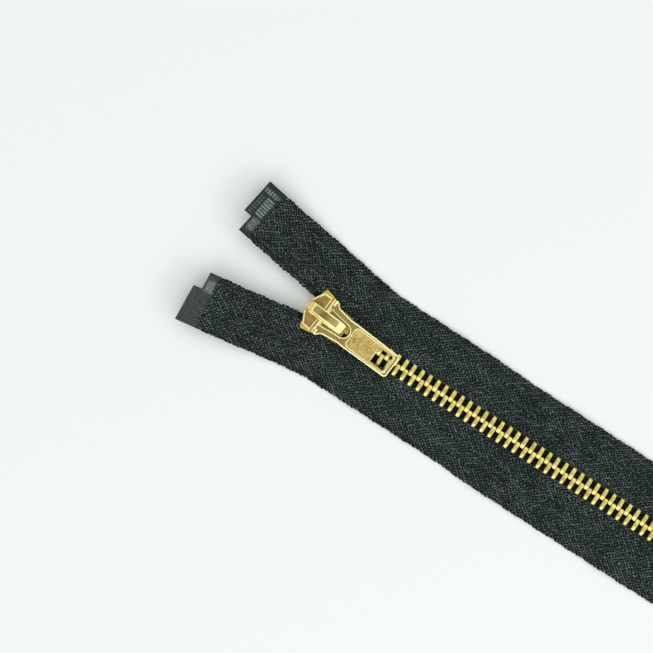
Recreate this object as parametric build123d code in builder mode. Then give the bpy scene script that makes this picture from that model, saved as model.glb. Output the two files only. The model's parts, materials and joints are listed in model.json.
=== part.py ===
"""Brass zipper, 18 cm, closed end, with an automatic locking slider. Millimetres.

Frame: X runs along the chain from the open top end (-X) to the closed bottom end (+X), Y goes across,
with the right-hand tape of a wearer's front view at +Y, and Z is up. The origin is on the chain's centre
line, on the surface that the slider stands on, at the middle of the closed slider.
"""

from build123d import *

import math
import os

os.makedirs("parts", exist_ok=True)

# ---- Driving dimensions -----------------------------------------------------------------------------

RIGHT = 1
LEFT = -1
SIDE_NAMES = {RIGHT: "right", LEFT: "left"}

# Chain
TAPE_Z = 2.5  # height of the tapes' middle plane above the surface
PITCH = 2.54
ELEMENTS = 67  # on each tape
TRAVEL = 64 * PITCH  # of the slider, from closed to open
FIRST_X = {RIGHT: 0.135 - PITCH / 2, LEFT: 0.135}
ELEMENT_WIDTH = 1.22  # along the chain
ELEMENT_OUTER = 2.84  # chain centre to an element's outer end
HEAD_REACH = 0.5  # how far a head passes the chain's centre
ELEMENT_SECTION = [
    (-HEAD_REACH, 0), (-HEAD_REACH, 1.1), (0.35, 1.4), (2.3, 1.4), (ELEMENT_OUTER, 0.9), (ELEMENT_OUTER, 0),
]
ELEMENT_CORNER_R = 0.22
HEAD_CHAMFER = 0.2
NUB_R = 0.32
NUB_HEIGHT = 0.22
NUB_TAPER = 25
POCKET_R = 0.40
POCKET_DEPTH = 0.30
POCKET_TAPER = 20

# Tapes
EDGE_GAP = 0.8  # chain centre to a tape's inner edge
TAPE_WIDTH = 15.2
TAPE_HALF_THICKNESS = 0.3
BEAD_R = 0.75
GRIP_GAP = 0.04  # between a clamped piece and the bead or tape in it
NOTCH_WIDTH = 4.9  # step cut in each tape end, on the inner side
NOTCH_DEPTH = 2.4
TOP_EXTENSION = 28.8  # tape beyond the slider's nose
BOTTOM_EXTENSION = 20.0  # tape beyond the bottom stop
OUTER_BEND_R = 55.0
INNER_BEND_R = 5.0
LEAF_X = -7.2  # the free tape ends start here
LEAF_GAP = 0.3  # between two lengths of one tape that ride on different bodies
LEAF_RISE = 6.0  # degrees that the free ends lift off the surface
LEAF_ANGLE = {RIGHT: 9.0, LEFT: 8.5}  # degrees that each free end spreads
FORK_X = -0.6  # where the two beads start to part
PIVOT_X = FORK_X + TRAVEL  # the chain never parts beyond this point

# Slider, in its own frame: u along the slider towards its tail, v across, w up from the tape plane
YAW = 4.0  # degrees that the slider sits askew on the chain, within its clearance
YAW_CENTRE_U = 5.4
NOSE_U = -6.3
MOUTH_EDGE_V = 2.78  # where a tape's inner edge leaves the mouth
BLADE_OUT_W = 2.5
CHANNEL_HALF_HEIGHT = 1.5
SLOT_HALF_HEIGHT = 0.5  # tape slot between the upper and lower flanges
DECK = [(NOSE_U, 0), (-6.0, 2.1), (-4.55, 5.1), (-2.3, 5.4), (1.2, 4.25), (6.0, 4.1), (6.0, 0)]
FLANGES = [(NOSE_U, 0), (-6.1, 2.3), (-4.5, 6.3), (-1.7, 5.75), (1.2, 4.25), (6.0, 4.1), (6.0, 0)]
CHANNEL = [(-8.0, 0), (-8.0, 5.35), (0.6, 3.3), (7.0, 3.3), (7.0, 0)]
WEDGE = [(-5.9, 0), (-5.9, 1.3), (-2.8, 0.45), (-2.8, 0)]
DECK_CORNER_R = [1.0, 0.6, 0.5, 3.0, 0.5]
FLANGE_CORNER_R = [1.0, 0.35, 0.4, 3.0, 0.5]
CHANNEL_CORNER_R = [0.1, 6.0, 0.1]
WEDGE_CORNER_R = [0.3, 0.3]
BLADE_EDGE_R = 0.25
SKIRT_HEIGHT = 0.85  # of the upper blade's flanges, which stand out further than its deck
SKIRT_BEVEL = 0.3
WING_RIM = 0.55
WING_DEPTH = 0.22
WING_REAR_U = -2.1
REAR_DECK_U = (-1.6, 8.0)
REAR_DECK_W = 2.25
DECK_REACH_V = 8.0
CROWN_PAD_HALF_V = 1.6

# Crown: posts, cap, locking spring
CAP_HALF_V = 1.5
CAP_WALL = 0.38
CAP_PROFILE = [(-6.05, 2.5), (-6.05, 4.5), (-4.6, 5.7), (3.6, 5.7), (5.5, 4.3), (5.5, 2.5)]
CAP_ARC_R = 1.1
CAP_NOSE_R = 1.0
CAP_RIDGE_BEVEL = 0.24
POST_HALF_V = 1.05
FRONT_POST_U = (-5.4, -2.6)
FRONT_POST_W = 4.0
REAR_POST_U = (3.0, 4.8)
REAR_POST_W = 4.4
CAP_WINDOW_U = (-2.0, 1.6)  # side windows that the crossbar passes through
CAP_WINDOW_W = 4.05
SPRING_U = (-5.3, 2.4)
SPRING_W = (4.07, 4.3)
SPRING_HALF_V = 1.0
LOCK_U = (1.1, 1.8)
LOCK_V = (-1.0, -0.7)
LOCK_TIP_W = 1.1
LOCK_HOLE_U = (1.0, 2.4)
LOCK_HOLE_V = (-1.1, -0.6)

# Puller, in its own frame: p along it from the crossbar's axis, q across
CROSSBAR_U = -0.8
CROSSBAR_W = 3.35
CROSSBAR_R = 0.6
PULLER_TILT = 3.2  # degrees that the resting puller slopes down to the chain
PULLER_OUTLINE = [
    (-0.55, 0), (-0.55, 5.4), (0.9, 5.4), (2.1, 4.2), (6.6, 3.6), (8.2, 3.72), (22.7, 3.5), (22.7, 0),
]
PULLER_CORNER_R = [0.2, 0.3, 1.2, 3.0, 3.0, 0.8]
PULLER_HALF_THICKNESS = 0.6
LOBE_R = 0.92
LOBE_Q = (3.9, 5.4)
SLOT_HALF_Q = 1.95
SLOT_END_P = 8.1
PANEL_P = (8.75, 21.6)  # at its rim, above the sloping wall
PANEL_HALF_Q = 2.85
PANEL_CORNER_R = 1.0
PANEL_DEPTH = 0.3
PANEL_WALL_SLOPE = 50  # degrees from upright
HOLE_P = (16.8, 21.2)
HOLE_HALF_Q = 2.25
HOLE_CORNER_R = 0.3
PULLER_EDGE = 0.18

# Stops
TOP_STOP_LENGTH = 3.0
TOP_STOP_AT = 3.6  # from the fork, along the bead
TOP_STOP_SIZE = (2.4, 2.5)
BOTTOM_STOP_X = 169.0
BOTTOM_STOP_LENGTH = 3.6
BOTTOM_STOP_SIZE = (6.8, 2.84)
STOP_CORNER_R = 0.7

BEAD_Y = EDGE_GAP + BEAD_R
TAPE_END_X = BOTTOM_STOP_X + BOTTOM_STOP_LENGTH + BOTTOM_EXTENSION

# ---- Planes -----------------------------------------------------------------------------------------

yaw = math.radians(YAW)
U_DIR = Vector(math.cos(yaw), -math.sin(yaw), 0)
V_DIR = Vector(math.sin(yaw), math.cos(yaw), 0)
SLIDER_ORIGIN = Vector(YAW_CENTRE_U, 0, TAPE_Z) - U_DIR * YAW_CENTRE_U
tape_plane = Plane.XY.offset(TAPE_Z)
slider_side = Plane(origin=SLIDER_ORIGIN, x_dir=U_DIR, z_dir=-V_DIR)  # its x is u and its y is w

tilt = math.radians(PULLER_TILT)
PULLER_ORIGIN = SLIDER_ORIGIN + U_DIR * CROSSBAR_U + Vector(0, 0, CROSSBAR_W)
P_DIR = U_DIR * math.cos(tilt) - Vector(0, 0, math.sin(tilt))
puller_plane = Plane(origin=PULLER_ORIGIN, x_dir=P_DIR, z_dir=P_DIR.cross(V_DIR))
puller_side = Plane(origin=PULLER_ORIGIN, x_dir=P_DIR, z_dir=-V_DIR)


def slider_level(w):
    """The slider's own plane at height w above the tape plane."""
    return Plane(origin=SLIDER_ORIGIN + Vector(0, 0, w), x_dir=U_DIR, z_dir=(0, 0, 1))


def slider_point(u, v):
    """The point (u, v) of the slider's frame as (x, y)."""
    at = SLIDER_ORIGIN + U_DIR * u + V_DIR * v
    return at.X, at.Y


def save(piece, name):
    """Labels a finished piece and writes its STEP file."""
    piece.part.label = name
    export_step(piece.part, f"parts/{name}.step")


def mirrored_face(points, radii):
    """The face between a half outline and its mirror image in X, with the corners beside X rounded."""
    with BuildSketch() as outline:
        with BuildLine():
            Polyline(*points)
            mirror(about=Plane.XZ)
        make_face()
        for (x, y), radius in zip(points[1:-1], radii, strict=True):
            corners = [v for v in outline.vertices() if abs(v.X - x) + abs(abs(v.Y) - y) < 1e-6]
            fillet(corners, radius)
    return outline.sketch


def block(plane, u_range, v_range, height, mode=Mode.ADD):
    """In a part: a box that stands on a plane."""
    middle = ((u_range[0] + u_range[1]) / 2, (v_range[0] + v_range[1]) / 2, height / 2)
    with Locations(plane.location * Location(middle)):
        Box(u_range[1] - u_range[0], v_range[1] - v_range[0], height, mode=mode)


# ---- Tapes and bead cords ---------------------------------------------------------------------------


def parallel(points, distance):
    """The corner points of the polyline that runs at a distance to the left of this one."""
    ends = [Vector(*p) for p in points]
    runs = [(b - a).normalized() for a, b in zip(ends[:-1], ends[1:], strict=True)]
    sides = [Vector(-r.Y, r.X) for r in runs]
    moved = [ends[0] + sides[0] * distance]
    for corner, before, after in zip(ends[1:-1], sides[:-1], sides[1:], strict=True):
        bisector = (before + after).normalized()
        moved.append(corner + bisector * (distance / bisector.dot(before)))
    moved.append(ends[-1] + sides[-1] * distance)
    return [(m.X, m.Y) for m in moved]


def inner_edge(side):
    """Corner points of a tape's inner edge from the bottom end to the top end."""
    angle = math.radians(LEAF_ANGLE[side])
    mouth_x, mouth_y = slider_point(NOSE_U, side * MOUTH_EDGE_V)
    reach = TOP_EXTENSION - NOTCH_DEPTH
    return [
        (TAPE_END_X - NOTCH_DEPTH, side * EDGE_GAP),
        (FORK_X, side * EDGE_GAP),
        (mouth_x, mouth_y),
        (mouth_x - reach * math.cos(angle), mouth_y + side * reach * math.sin(angle)),
    ]


def bead_line(side):
    """Corner points of the bead's middle line from the bottom end to the top end."""
    return parallel(inner_edge(side), -side * BEAD_R)


def tape_face(side):
    """The plan of one whole tape from its bead's middle line outwards, with a step cut in both ends."""
    angle = math.radians(LEAF_ANGLE[side])
    along = Vector(-math.cos(angle), side * math.sin(angle))
    across = Vector(math.sin(angle), side * math.cos(angle))
    corner = Vector(*inner_edge(side)[-1])
    step = corner + across * NOTCH_WIDTH
    outer = corner + across * TAPE_WIDTH + along * NOTCH_DEPTH
    tape_y = EDGE_GAP + TAPE_WIDTH
    bend_x = outer.X + (abs(outer.Y) - tape_y) / math.tan(angle)
    notch_y = EDGE_GAP + NOTCH_WIDTH
    with BuildSketch() as plan:
        with BuildLine():
            inside = FilletPolyline(*bead_line(side), radius=INNER_BEND_R)
            outside = FilletPolyline(
                (TAPE_END_X, side * tape_y), (bend_x, side * tape_y), (outer.X, outer.Y), radius=OUTER_BEND_R
            )
            Polyline(inside @ 1, step, step + along * NOTCH_DEPTH, outside @ 1)
            step_x = TAPE_END_X - NOTCH_DEPTH
            Polyline(inside @ 0, (step_x, side * notch_y), (TAPE_END_X, side * notch_y), outside @ 0)
        make_face()
    return plan.sketch


def make_strand(side):
    """One whole bead cord and one whole flat tape, before they are divided into lengths."""
    with BuildPart() as cord:
        with BuildLine(tape_plane) as path:
            FilletPolyline(*bead_line(side), radius=INNER_BEND_R)
        with BuildSketch(path.line ^ 0):
            Circle(BEAD_R)
        sweep()
    with BuildPart() as tape:
        with BuildSketch(tape_plane):
            add(tape_face(side))
        extrude(amount=TAPE_HALF_THICKNESS, both=True)
        add(cord.part, mode=Mode.SUBTRACT)
    return cord, tape


def length_of(piece, low_x, high_x):
    """The length of a tape or cord between two X positions."""
    with BuildPart() as length:
        add(piece.part)
        with Locations(((low_x + high_x) / 2, 0, TAPE_Z)):
            Box(high_x - low_x, 4 * TAPE_WIDTH, 8 * BEAD_R, mode=Mode.INTERSECT)
    return length


def raised(piece):
    """The same piece turned up about the cross line at the slider's mouth."""
    hinge_line = Axis(origin=(LEAF_X, 0, TAPE_Z), direction=(0, 1, 0))
    with BuildPart() as turned:
        add(piece.part.rotate(hinge_line, LEAF_RISE))
    return turned


def make_tape_lengths(side):
    """The tape and its bead cord in the three lengths that move apart: top, middle and bottom."""
    far = TAPE_END_X + 1.0
    cord, tape = make_strand(side)
    for piece, kind in ((cord, "bead_cord"), (tape, "tape")):
        name = f"{SIDE_NAMES[side]}_{kind}"
        save(length_of(piece, LEAF_X, PIVOT_X - LEAF_GAP / 2), name)
        save(length_of(piece, PIVOT_X + LEAF_GAP / 2, far), f"{name}_bottom")
        save(raised(length_of(piece, -far, LEAF_X - LEAF_GAP)), f"{name}_top")


# ---- Elements ---------------------------------------------------------------------------------------


def make_element():
    """One element of the right row, at the origin of the chain line, gripping a bead that runs along X."""
    with BuildPart() as element:
        with BuildSketch(Plane.YZ.offset(-ELEMENT_WIDTH / 2)):
            with BuildLine():
                Polyline(*ELEMENT_SECTION)
                mirror(about=Plane.XZ)
            make_face()
            fillet(vertices(), ELEMENT_CORNER_R)
            with Locations((BEAD_Y, 0)):
                Circle(BEAD_R + GRIP_GAP, mode=Mode.SUBTRACT)
            with Locations((BEAD_Y, 0)):
                Rectangle(
                    2 * ELEMENT_OUTER, 2 * (TAPE_HALF_THICKNESS + GRIP_GAP),
                    align=(Align.MIN, Align.CENTER), mode=Mode.SUBTRACT,
                )
        extrude(amount=ELEMENT_WIDTH)
        chamfer(edges().filter_by(Axis.Z).group_by(Axis.Y)[0], HEAD_CHAMFER)
        with BuildSketch(Plane.YZ.offset(ELEMENT_WIDTH / 2)):
            Circle(NUB_R)
        extrude(amount=NUB_HEIGHT, taper=NUB_TAPER)
        with BuildSketch(Plane.YZ.offset(-ELEMENT_WIDTH / 2)):
            Circle(POCKET_R)
        extrude(amount=POCKET_DEPTH, taper=POCKET_TAPER, mode=Mode.SUBTRACT)
    return element


def element_place(side, x):
    """Where an element goes: on the straight chain, or past the fork square to the parting bead."""
    if x > FORK_X:
        return Location((x, 0, TAPE_Z))
    fork, mouth = [Vector(*p) for p in bead_line(side)[1:3]]
    along = (mouth - fork).normalized()
    turn = side * math.degrees(math.atan2(abs(along.Y), -along.X))
    across = Vector(-along.Y, along.X) * side
    at = fork + along * (FORK_X - x) + across * BEAD_Y
    return Location((at.X, at.Y, TAPE_Z), (0, 0, -turn))


def make_elements(side):
    """The two rows of one tape: on the middle length and on the bottom length."""
    element = make_element()
    if side == LEFT:
        element = element.part.mirror(Plane.XZ)
    else:
        element = element.part
    places = [FIRST_X[side] + PITCH * i for i in range(ELEMENTS)]
    rows = {
        f"{SIDE_NAMES[side]}_elements": [x for x in places if x < PIVOT_X],
        f"{SIDE_NAMES[side]}_elements_bottom": [x for x in places if x > PIVOT_X],
    }
    for name, row in rows.items():
        with BuildPart() as elements:
            with Locations(*[element_place(side, x) for x in row]):
                add(element, clean=False)
        save(elements, name)


# ---- Stops ------------------------------------------------------------------------------------------


def stop_section(width, height, beads):
    """A rounded clamp section with a hole for each bead and a slot for its tape."""
    with BuildSketch() as section:
        RectangleRounded(width, height, STOP_CORNER_R)
        for bead_y, outwards in beads:
            with Locations((bead_y, 0)):
                Circle(BEAD_R + GRIP_GAP, mode=Mode.SUBTRACT)
            with Locations((bead_y + outwards * width / 2, 0)):
                Rectangle(width, 2 * (TAPE_HALF_THICKNESS + GRIP_GAP), mode=Mode.SUBTRACT)
    return section.sketch


def make_top_stop(side):
    """A short clamp on the parting bead, in the slider's mouth."""
    fork, mouth = [Vector(*p) for p in bead_line(side)[1:3]]
    along = (mouth - fork).normalized()
    start = fork + along * (TOP_STOP_AT - TOP_STOP_LENGTH / 2)
    across = Vector(0, 0, 1).cross(along)
    section = Plane(origin=(start.X, start.Y, TAPE_Z), x_dir=across, z_dir=along)
    with BuildPart() as top_stop:
        with BuildSketch(section):
            add(stop_section(*TOP_STOP_SIZE, [(0, -side)]))
        extrude(amount=TOP_STOP_LENGTH)
    save(top_stop, f"{SIDE_NAMES[side]}_top_stop")


def make_bottom_stop():
    """One clamp across both beads, below the last elements."""
    section = Plane(origin=(BOTTOM_STOP_X, 0, TAPE_Z), x_dir=(0, 1, 0), z_dir=(1, 0, 0))
    with BuildPart() as bottom_stop:
        with BuildSketch(section):
            add(stop_section(*BOTTOM_STOP_SIZE, [(BEAD_Y, 1), (-BEAD_Y, -1)]))
        extrude(amount=BOTTOM_STOP_LENGTH)
    save(bottom_stop, "bottom_stop")


# ---- Slider -----------------------------------------------------------------------------------------


def make_lower_blade():
    """The lower blade with the full depth of its flanges, rounded round its outer face."""
    with BuildPart() as blade:
        with BuildSketch(slider_level(-BLADE_OUT_W)):
            add(mirrored_face(FLANGES, FLANGE_CORNER_R))
        extrude(amount=BLADE_OUT_W - SLOT_HALF_HEIGHT)
        fillet(blade.faces().sort_by(Axis.Z)[0].edges(), BLADE_EDGE_R)
    return blade


def make_upper_blade():
    """The upper blade: a rounded deck over a wider skirt with a bevelled edge."""
    with BuildPart() as skirt:
        with BuildSketch(slider_level(SLOT_HALF_HEIGHT)):
            add(mirrored_face(FLANGES, FLANGE_CORNER_R))
        extrude(amount=SKIRT_HEIGHT)
        chamfer(skirt.faces().sort_by(Axis.Z)[-1].edges(), SKIRT_BEVEL)
    with BuildPart() as blade:
        with BuildSketch(slider_level(SLOT_HALF_HEIGHT)):
            add(mirrored_face(DECK, DECK_CORNER_R))
        extrude(amount=BLADE_OUT_W - SLOT_HALF_HEIGHT)
        fillet(blade.faces().sort_by(Axis.Z)[-1].edges(), BLADE_EDGE_R)
        add(skirt.part)
    return blade


def wing_recesses():
    """The plan of the areas sunk into the deck inside its rim, one on each side of the crown."""
    with BuildSketch() as recesses:
        add(mirrored_face(DECK, DECK_CORNER_R))
        offset(amount=-WING_RIM, mode=Mode.REPLACE)
        Rectangle(-4 * NOSE_U, 2 * CROWN_PAD_HALF_V, mode=Mode.SUBTRACT)
        with Locations((WING_REAR_U, 0)):
            Rectangle(-4 * NOSE_U, 4 * DECK_REACH_V, align=(Align.MIN, Align.CENTER), mode=Mode.SUBTRACT)
    return recesses.sketch


def make_slider_body():
    """Two blades with flanges, joined by the wedge, and two posts that the cap is fixed on."""
    upper = make_upper_blade()
    lower = make_lower_blade()
    channel_floor = slider_level(-CHANNEL_HALF_HEIGHT)
    with BuildPart() as slider_body:
        add(upper.part)
        add(lower.part)
        with BuildSketch(channel_floor):
            add(mirrored_face(CHANNEL, CHANNEL_CORNER_R))
        extrude(amount=2 * CHANNEL_HALF_HEIGHT, mode=Mode.SUBTRACT)
        with BuildSketch(channel_floor):
            add(mirrored_face(WEDGE, WEDGE_CORNER_R))
        extrude(amount=2 * CHANNEL_HALF_HEIGHT)
        with BuildSketch(slider_level(BLADE_OUT_W)):
            add(wing_recesses())
        extrude(amount=-WING_DEPTH, mode=Mode.SUBTRACT)
        for side in (RIGHT, LEFT):
            deck_v = sorted((side * CROWN_PAD_HALF_V, side * DECK_REACH_V))
            block(slider_level(REAR_DECK_W), REAR_DECK_U, deck_v, BLADE_OUT_W, mode=Mode.SUBTRACT)
        for span, top in ((FRONT_POST_U, FRONT_POST_W), (REAR_POST_U, REAR_POST_W)):
            block(slider_level(BLADE_OUT_W), span, (-POST_HALF_V, POST_HALF_V), top - BLADE_OUT_W)
        block(slider_level(SLOT_HALF_HEIGHT), LOCK_HOLE_U, LOCK_HOLE_V, BLADE_OUT_W, mode=Mode.SUBTRACT)
    save(slider_body, "slider_body")


def make_slider_cap():
    """A pressed cover over the crown, open below, with a window in each side for the puller's crossbar."""
    inner_profile = [
        (CAP_PROFILE[0][0] + CAP_WALL, CAP_PROFILE[0][1]),
        *parallel(CAP_PROFILE, -CAP_WALL)[1:-1],
        (CAP_PROFILE[-1][0] - CAP_WALL, CAP_PROFILE[-1][1]),
    ]
    with BuildPart() as slider_cap:
        with BuildSketch(slider_side):
            with BuildLine():
                FilletPolyline(*CAP_PROFILE, radius=CAP_ARC_R)
                Line(CAP_PROFILE[-1], CAP_PROFILE[0])
            make_face()
        extrude(amount=CAP_HALF_V, both=True)
        nose_edges = slider_cap.edges().filter_by(Axis.Z).group_by(Axis.X)[0]
        fillet(nose_edges, CAP_NOSE_R)
        ridge_edges = slider_cap.faces().sort_by(Axis.Z)[-1].edges().filter_by(Axis(SLIDER_ORIGIN, U_DIR))
        chamfer(ridge_edges, CAP_RIDGE_BEVEL)
        with BuildSketch(slider_side):
            with BuildLine():
                FilletPolyline(*inner_profile, radius=CAP_ARC_R - CAP_WALL)
                Line(inner_profile[-1], inner_profile[0])
            make_face()
        extrude(amount=CAP_HALF_V - CAP_WALL, both=True, mode=Mode.SUBTRACT)
        block(
            slider_level(BLADE_OUT_W), CAP_WINDOW_U, (-2 * CAP_HALF_V, 2 * CAP_HALF_V),
            CAP_WINDOW_W - BLADE_OUT_W, mode=Mode.SUBTRACT,
        )
    save(slider_cap, "slider_cap")


def make_locking_spring():
    """A leaf spring under the cap, with a pin that drops between two elements."""
    with BuildPart() as locking_spring:
        block(slider_level(SPRING_W[0]), SPRING_U, (-SPRING_HALF_V, SPRING_HALF_V), SPRING_W[1] - SPRING_W[0])
        block(slider_level(LOCK_TIP_W), LOCK_U, LOCK_V, SPRING_W[1] - LOCK_TIP_W)
    save(locking_spring, "locking_spring")


# ---- Puller -----------------------------------------------------------------------------------------


def make_puller():
    """A flat puller with a slot round the cap, a crossbar between two lobes, and a window near its end."""
    slot_centre_p = SLOT_END_P - SLOT_HALF_Q
    panel_middle_p = sum(PANEL_P) / 2
    hole_middle_p = sum(HOLE_P) / 2
    with BuildPart() as puller:
        with BuildSketch(puller_plane):
            add(mirrored_face(PULLER_OUTLINE, PULLER_CORNER_R))
        extrude(amount=PULLER_HALF_THICKNESS, both=True)
        broad_faces = puller.faces().sort_by(SortBy.AREA)[-2:]
        chamfer(broad_faces.edges(), PULLER_EDGE)
        for q_start in (-LOBE_Q[1], LOBE_Q[0]):
            with BuildSketch(puller_side.offset(-q_start)):
                Circle(LOBE_R)
            extrude(amount=-(LOBE_Q[1] - LOBE_Q[0]))
        with BuildSketch(puller_plane):
            with Locations((slot_centre_p, 0)):
                Circle(SLOT_HALF_Q)
                Rectangle(SLOT_END_P, 2 * SLOT_HALF_Q, align=(Align.MAX, Align.CENTER))
        extrude(amount=LOBE_R, both=True, mode=Mode.SUBTRACT)
        for face_side in (1, -1):
            with BuildSketch(puller_plane.offset(face_side * PULLER_HALF_THICKNESS)):
                with Locations((panel_middle_p, 0)):
                    RectangleRounded(PANEL_P[1] - PANEL_P[0], 2 * PANEL_HALF_Q, PANEL_CORNER_R)
            extrude(amount=-face_side * PANEL_DEPTH, taper=PANEL_WALL_SLOPE, mode=Mode.SUBTRACT)
        with BuildSketch(puller_plane):
            with Locations((hole_middle_p, 0)):
                RectangleRounded(HOLE_P[1] - HOLE_P[0], 2 * HOLE_HALF_Q, HOLE_CORNER_R)
        extrude(amount=PULLER_HALF_THICKNESS, both=True, mode=Mode.SUBTRACT)
        with BuildSketch(puller_side):
            Circle(CROSSBAR_R)
        extrude(amount=LOBE_Q[0], both=True)
    save(puller, "puller")


for row_side in (RIGHT, LEFT):
    make_tape_lengths(row_side)
    make_elements(row_side)
    make_top_stop(row_side)
make_bottom_stop()
make_slider_body()
make_slider_cap()
make_locking_spring()
make_puller()
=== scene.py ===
"""Looks of the brass zipper: woven tapes, stamped elements, a polished slider and puller, and the studio.

Lengths are millimetres until they are multiplied by MM. The chain runs along x, with its open end at low x.
s and t are places along and across a tape; u, v and w are places along, across and above the slider.
"""
import json
import math

import bmesh
import bpy
import numpy as np
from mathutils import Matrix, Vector


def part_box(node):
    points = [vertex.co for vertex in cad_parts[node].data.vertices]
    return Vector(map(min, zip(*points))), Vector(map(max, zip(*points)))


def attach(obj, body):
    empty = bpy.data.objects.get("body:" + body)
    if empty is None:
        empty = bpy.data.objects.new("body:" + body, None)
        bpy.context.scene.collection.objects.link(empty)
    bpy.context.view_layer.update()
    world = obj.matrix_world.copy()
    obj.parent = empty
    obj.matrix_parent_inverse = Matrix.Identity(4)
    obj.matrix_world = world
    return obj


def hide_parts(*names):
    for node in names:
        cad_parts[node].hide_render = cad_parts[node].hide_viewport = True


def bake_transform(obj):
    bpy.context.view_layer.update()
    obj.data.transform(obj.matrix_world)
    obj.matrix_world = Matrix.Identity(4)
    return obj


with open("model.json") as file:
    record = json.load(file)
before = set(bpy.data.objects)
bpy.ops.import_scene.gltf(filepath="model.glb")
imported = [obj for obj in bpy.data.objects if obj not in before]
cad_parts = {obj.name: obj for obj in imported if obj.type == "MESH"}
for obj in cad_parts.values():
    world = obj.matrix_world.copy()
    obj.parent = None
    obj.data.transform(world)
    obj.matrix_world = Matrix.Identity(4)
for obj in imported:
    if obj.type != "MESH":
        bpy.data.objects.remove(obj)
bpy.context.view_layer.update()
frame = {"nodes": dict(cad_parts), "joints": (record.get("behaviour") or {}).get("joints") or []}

MM = 0.001
RIGHT = 1
LEFT = -1
SIDE_NAMES = {RIGHT: "right", LEFT: "left"}
JOINTS = {joint["name"]: joint for joint in frame["joints"]}

# ---- Sizes of the tapes and places of the hinges, in millimetres --------------------------------------

TAPE_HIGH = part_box("right_tape_bottom")[1] / MM
PIVOT = Vector(JOINTS["right_chain_parting"]["pos_m"]) / MM
TRAVEL = JOINTS["slider_travel"]["range_m"][1] / MM
TAPE_Z = PIVOT.z
TAPE_END_X = TAPE_HIGH.x
TAPE_OUTER = TAPE_HIGH.y
EDGE_GAP = 0.8  # chain centre to a tape's inner edge
TAPE_WIDTH = TAPE_OUTER - EDGE_GAP
BEAD_R = 0.75
TAPE_HALF = 0.27  # half of a tape's thickness
NOTCH_WIDTH = 4.9  # the step that is cut out of each tape end's inner corner
NOTCH_DEPTH = 2.4
TOP_EXTENSION = 29.2  # free length of a tape past the slider's mouth
FORK_X = PIVOT.x - TRAVEL
LEAF_PIVOT = {side: Vector(JOINTS[f"{name}_end_spread"]["pos_m"]) / MM for side, name in SIDE_NAMES.items()}
LEAF_X = LEAF_PIVOT[RIGHT].x
LEAF_ANGLE = {RIGHT: 9.0, LEFT: 8.5}
MOUTH = {RIGHT: (-6.08, 3.57), LEFT: (-6.47, -1.97)}  # where each tape's inner edge leaves the slider

# ---- Node graphs ------------------------------------------------------------------------------------


def colour_ramp(tree, factor, stops):
    """A colour that follows these (position, colour) stops."""
    node = tree.nodes.new("ShaderNodeValToRGB")
    elements = node.color_ramp.elements
    while len(elements) < len(stops):
        elements.new(0.5)
    for element, (position, colour) in zip(elements, stops):
        element.position = position
        element.color = (*colour, 1.0)
    tree.links.new(factor, node.inputs["Fac"])
    return node.outputs["Color"]


class Graph:
    """Builds one material's nodes: most methods add a node and return its output."""

    def __init__(self, name):
        self.material = bpy.data.materials.new(name)
        self.material.use_nodes = True
        self.tree = self.material.node_tree
        self.shader = self.tree.nodes["Principled BSDF"]

    def feed(self, socket, value):
        """Links an output to a socket, or sets the socket's value."""
        if isinstance(value, bpy.types.NodeSocket):
            self.tree.links.new(value, socket)
        else:
            socket.default_value = value

    def add(self, kind, inputs=(), output=0, **settings):
        node = self.tree.nodes.new(kind)
        for key, value in settings.items():
            setattr(node, key, value)
        for key, value in dict(inputs).items():
            self.feed(node.inputs[key], value)
        return node.outputs[output]

    def math(self, operation, a, b=0.0, c=0.0):
        return self.add("ShaderNodeMath", {0: a, 1: b, 2: c}, operation=operation)

    def noise(self, vector, scale, detail, roughness):
        inputs = {"Vector": vector, "Scale": scale, "Detail": detail, "Roughness": roughness}
        return self.add("ShaderNodeTexNoise", inputs)

    def ramp(self, factor, stops):
        return colour_ramp(self.tree, factor, stops)

    def level(self, factor, stops):
        """A grey value that follows these (position, value) stops."""
        return self.ramp(factor, [(position, (value, value, value)) for position, value in stops])

    def mix(self, factor, a, b):
        node = self.tree.nodes.new("ShaderNodeMix")
        node.data_type = "RGBA"
        for key, value in {"Factor": factor, "A": a, "B": b}.items():
            socket = [s for s in node.inputs if s.name == key and s.enabled][0]
            if isinstance(value, tuple) and len(value) == 3:
                value = (*value, 1.0)
            self.feed(socket, value)
        return [s for s in node.outputs if s.enabled][0]

    def attribute(self, name):
        return self.add("ShaderNodeAttribute", output=2, attribute_name=name)

    def bump(self, height, strength, distance):
        return self.add("ShaderNodeBump", {"Height": height, "Strength": strength, "Distance": distance})

    def finish(self, **inputs):
        """Feeds the shader's inputs, which are named with underscores for spaces."""
        for key, value in inputs.items():
            name = key.replace("_", " ")
            if isinstance(value, tuple) and len(value) == 3:
                value = (*value, 1.0)
            self.feed(self.shader.inputs[name], value)
        return self.material


def object_space(graph):
    return graph.add("ShaderNodeTexCoord", output=3)


def stretched(graph, vector, scale):
    return graph.add("ShaderNodeMapping", {"Vector": vector, "Scale": scale})


# ---- Metal ------------------------------------------------------------------------------------------


SCRATCH_SCALES = (700.0, 6000.0, 2500.0)  # scratches run along a part, so their noise is finer across it
BRASS_BUMP = 0.00003


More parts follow.
